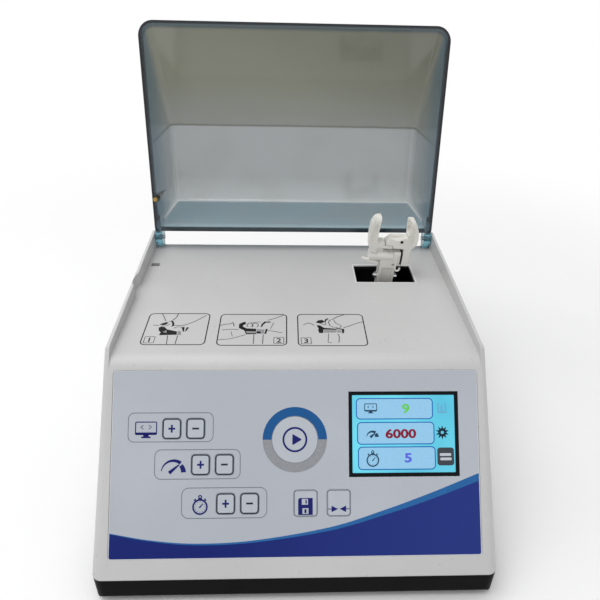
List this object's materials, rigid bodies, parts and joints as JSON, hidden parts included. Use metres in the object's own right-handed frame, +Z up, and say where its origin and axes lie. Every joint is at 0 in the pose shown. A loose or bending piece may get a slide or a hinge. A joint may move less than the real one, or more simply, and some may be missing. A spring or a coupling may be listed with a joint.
{
  "type": "dental amalgamator",
  "caption": "Bench capsule mixer with a sloping keypad and display, a hinged clear hood standing open, and a motor driven fork that shakes a capsule.",
  "frame": {"origin": "middle of the footprint with the lid open, at the level the feet stand on", "axes": "+X to the user's right, +Y to the back of the machine, +Z up"},
  "size_m": [0.221, 0.2734, 0.2645],
  "materials": {
    "housing_white": "light grey-white moulding, fine satin grain",
    "tray_black": "black, fine grain",
    "overlay_film": "printed polyester film, cool light grey, satin",
    "bezel_black": "dark printed window border",
    "display_glass": "lit colour screen, blue",
    "board_green": "solder mask green",
    "component_black": "moulded component black",
    "film_tail": "amber film",
    "dome_steel": "spring steel",
    "key_film": "printed film key, light grey with dark signs",
    "key_start_grey": "printed film key, pale grey",
    "lid_clear": "clear tinted moulded plastic, polished",
    "pin_steel": "ground steel",
    "pin_brass": "turned brass",
    "fork_white": "warm white moulded plastic, satin",
    "spring_steel": "bright steel",
    "motor_steel": "rolled and laminated steel",
    "machined_steel": "machined and folded steel",
    "cast_alloy": "die cast alloy",
    "winding_copper": "lacquered copper wire",
    "rubber_black": "moulded rubber",
    "guide_plastic": "natural bearing plastic",
    "screw_steel": "zinc plated steel",
    "switch_plastic": "black moulded plastic"
  },
  "bodies": {
    "machine": {"base_tray": "tray_black", "top_housing": "housing_white", "keypad_overlay": "overlay_film", "display_bezel": "bezel_black", "display_module": "display_glass", "main_board": "board_green", "board_components": "component_black", "keypad_tail": "film_tail", "key_domes": "dome_steel", "motor_can": "motor_steel", "motor_end_cap": "cast_alloy", "motor_bearings": "pin_steel", "stator_core": "motor_steel", "stator_windings": "winding_copper", "motor_bracket": "machined_steel", "motor_isolators": "rubber_black", "bracket_screws": "screw_steel", "motor_screws": "screw_steel", "guide_block": "guide_plastic", "power_board": "board_green", "power_transformer": "motor_steel", "power_capacitors": "component_black", "interlock_switch": "switch_plastic", "interlock_screws": "screw_steel", "rear_panel": "tray_black", "rear_panel_screws": "screw_steel", "mains_inlet": "switch_plastic", "inlet_blades": "pin_brass", "switch_frame": "switch_plastic", "fuse_holder": "switch_plastic", "rubber_feet": "rubber_black", "tray_screws": "screw_steel", "board_screws": "screw_steel"},
    "lid": {"lid_shell": "lid_clear", "lid_hinge_pins": "pin_steel", "lid_latch_pin": "pin_brass"},
    "rotor": {"motor_shaft": "pin_steel", "rotor_core": "motor_steel", "skew_hub": "machined_steel", "hub_nut": "spring_steel", "counterweight": "motor_steel"},
    "arm": {"mixing_arm": "fork_white", "arm_bearing": "pin_steel", "barrel_cap": "fork_white", "jaw_spring": "spring_steel", "stem_pin": "spring_steel"},
    "jaw": {"sliding_jaw": "fork_white"},
    "lever": {"interlock_lever": "spring_steel"},
    "rocker": {"switch_rocker": "switch_plastic"},
    "fuse_knob": {"fuse_cap": "switch_plastic"},
    "key_program_up_body": {"key_program_up": "key_film"},
    "key_program_down_body": {"key_program_down": "key_film"},
    "key_speed_up_body": {"key_speed_up": "key_film"},
    "key_speed_down_body": {"key_speed_down": "key_film"},
    "key_timer_up_body": {"key_timer_up": "key_film"},
    "key_timer_down_body": {"key_timer_down": "key_film"},
    "key_save_body": {"key_save": "key_film"},
    "key_reset_body": {"key_reset": "key_film"},
    "key_start_body": {"key_start": "key_start_grey"}
  },
  "joints": [
    {"name": "lid_hinge", "type": "hinge", "parent": "machine", "child": "lid", "pos_m": [0, 0.07774, 0.11938], "axis": [1, 0, 0], "range_deg": [0, 99.5]},
    {"name": "motor_spin", "type": "hinge", "parent": "machine", "child": "rotor", "pos_m": [0.0595, 0.03514, 0.0545], "axis": [1, 0, 0], "continuous": true},
    {"name": "arm_wobble", "type": "hinge", "parent": "rotor", "child": "arm", "pos_m": [0.0595, 0.03514, 0.0545], "axis": [0.9976, 0, -0.0698], "continuous": true},
    {"name": "jaw_slide", "type": "slide", "parent": "arm", "child": "jaw", "axis": [0.9976, 0, -0.0698], "range_m": [0, 0.008], "stiffness_N_per_m": 2000, "springref_m": -0.004, "deforming": ["jaw_spring"]},
    {"name": "lever_swing", "type": "hinge", "parent": "machine", "child": "lever", "pos_m": [-0.0997, 0.05934, 0.10728], "axis": [1, 0, 0], "range_deg": [0, 10]},
    {"name": "rocker_tip", "type": "hinge", "parent": "machine", "child": "rocker", "pos_m": [-0.036, 0.08124, 0.052], "axis": [-1, 0, 0], "range_deg": [0, 18]},
    {"name": "fuse_turn", "type": "hinge", "parent": "machine", "child": "fuse_knob", "pos_m": [0.068, 0.08224, 0.052], "axis": [0, 1, 0], "range_deg": [0, 60]},
    {"name": "key_program_up_press", "type": "slide", "parent": "machine", "child": "key_program_up_body", "axis": [0, 0.788, -0.6157], "range_m": [0, 0.0004], "stiffness_N_per_m": 3000, "springref_m": -0.0002},
    {"name": "key_program_down_press", "type": "slide", "parent": "machine", "child": "key_program_down_body", "axis": [0, 0.788, -0.6157], "range_m": [0, 0.0004], "stiffness_N_per_m": 3000, "springref_m": -0.0002},
    {"name": "key_speed_up_press", "type": "slide", "parent": "machine", "child": "key_speed_up_body", "axis": [0, 0.788, -0.6157], "range_m": [0, 0.0004], "stiffness_N_per_m": 3000, "springref_m": -0.0002},
    {"name": "key_speed_down_press", "type": "slide", "parent": "machine", "child": "key_speed_down_body", "axis": [0, 0.788, -0.6157], "range_m": [0, 0.0004], "stiffness_N_per_m": 3000, "springref_m": -0.0002},
    {"name": "key_timer_up_press", "type": "slide", "parent": "machine", "child": "key_timer_up_body", "axis": [0, 0.788, -0.6157], "range_m": [0, 0.0004], "stiffness_N_per_m": 3000, "springref_m": -0.0002},
    {"name": "key_timer_down_press", "type": "slide", "parent": "machine", "child": "key_timer_down_body", "axis": [0, 0.788, -0.6157], "range_m": [0, 0.0004], "stiffness_N_per_m": 3000, "springref_m": -0.0002},
    {"name": "key_save_press", "type": "slide", "parent": "machine", "child": "key_save_body", "axis": [0, 0.788, -0.6157], "range_m": [0, 0.0004], "stiffness_N_per_m": 3000, "springref_m": -0.0002},
    {"name": "key_reset_press", "type": "slide", "parent": "machine", "child": "key_reset_body", "axis": [0, 0.788, -0.6157], "range_m": [0, 0.0004], "stiffness_N_per_m": 3000, "springref_m": -0.0002},
    {"name": "key_start_press", "type": "slide", "parent": "machine", "child": "key_start_body", "axis": [0, 0.788, -0.6157], "range_m": [0, 0.0004], "stiffness_N_per_m": 3000, "springref_m": -0.0002}
  ],
  "couplings": [
    {"joint": "arm_wobble", "follows": "motor_spin", "ratio": -1},
    {"joint": "lever_swing", "follows": "lid_hinge", "ratio": 0.1}
  ]
}
